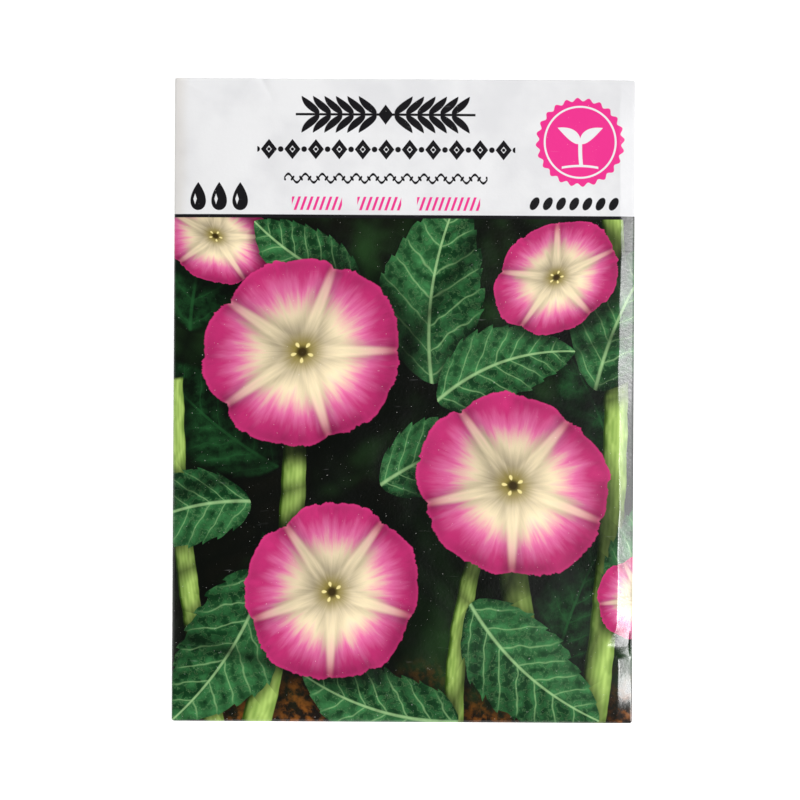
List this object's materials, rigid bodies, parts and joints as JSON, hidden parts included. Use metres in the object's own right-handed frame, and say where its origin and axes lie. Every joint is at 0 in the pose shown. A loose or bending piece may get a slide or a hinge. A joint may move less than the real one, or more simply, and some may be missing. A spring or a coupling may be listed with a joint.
{
  "type": "seed packet",
  "caption": "Sealed paper packet of seeds, folded from one glossy printed sheet and glued along a side seam and an end flap at each end.",
  "frame": {"origin": "on the surface that the packet lies on, under the middle of its outline", "axes": "+Z out of the printed front, +Y towards the packet's heading end, +X to the right of a person who reads the front"},
  "size_m": [0.0818, 0.1142, 0.0028],
  "materials": {
    "paper": "gloss",
    "glue": "satin",
    "seed": "matte"
  },
  "bodies": {
    "root": {"paper_envelope": "paper", "bottom_flap_glue": "glue", "top_flap_glue": "glue", "side_seam_glue": "glue", "seed_bed": "seed", "loose_seed_01": "seed", "loose_seed_02": "seed", "loose_seed_03": "seed", "loose_seed_04": "seed", "loose_seed_05": "seed", "loose_seed_06": "seed", "loose_seed_07": "seed", "loose_seed_08": "seed", "loose_seed_09": "seed", "loose_seed_10": "seed", "loose_seed_11": "seed", "loose_seed_12": "seed"}
  },
  "joints": []
}
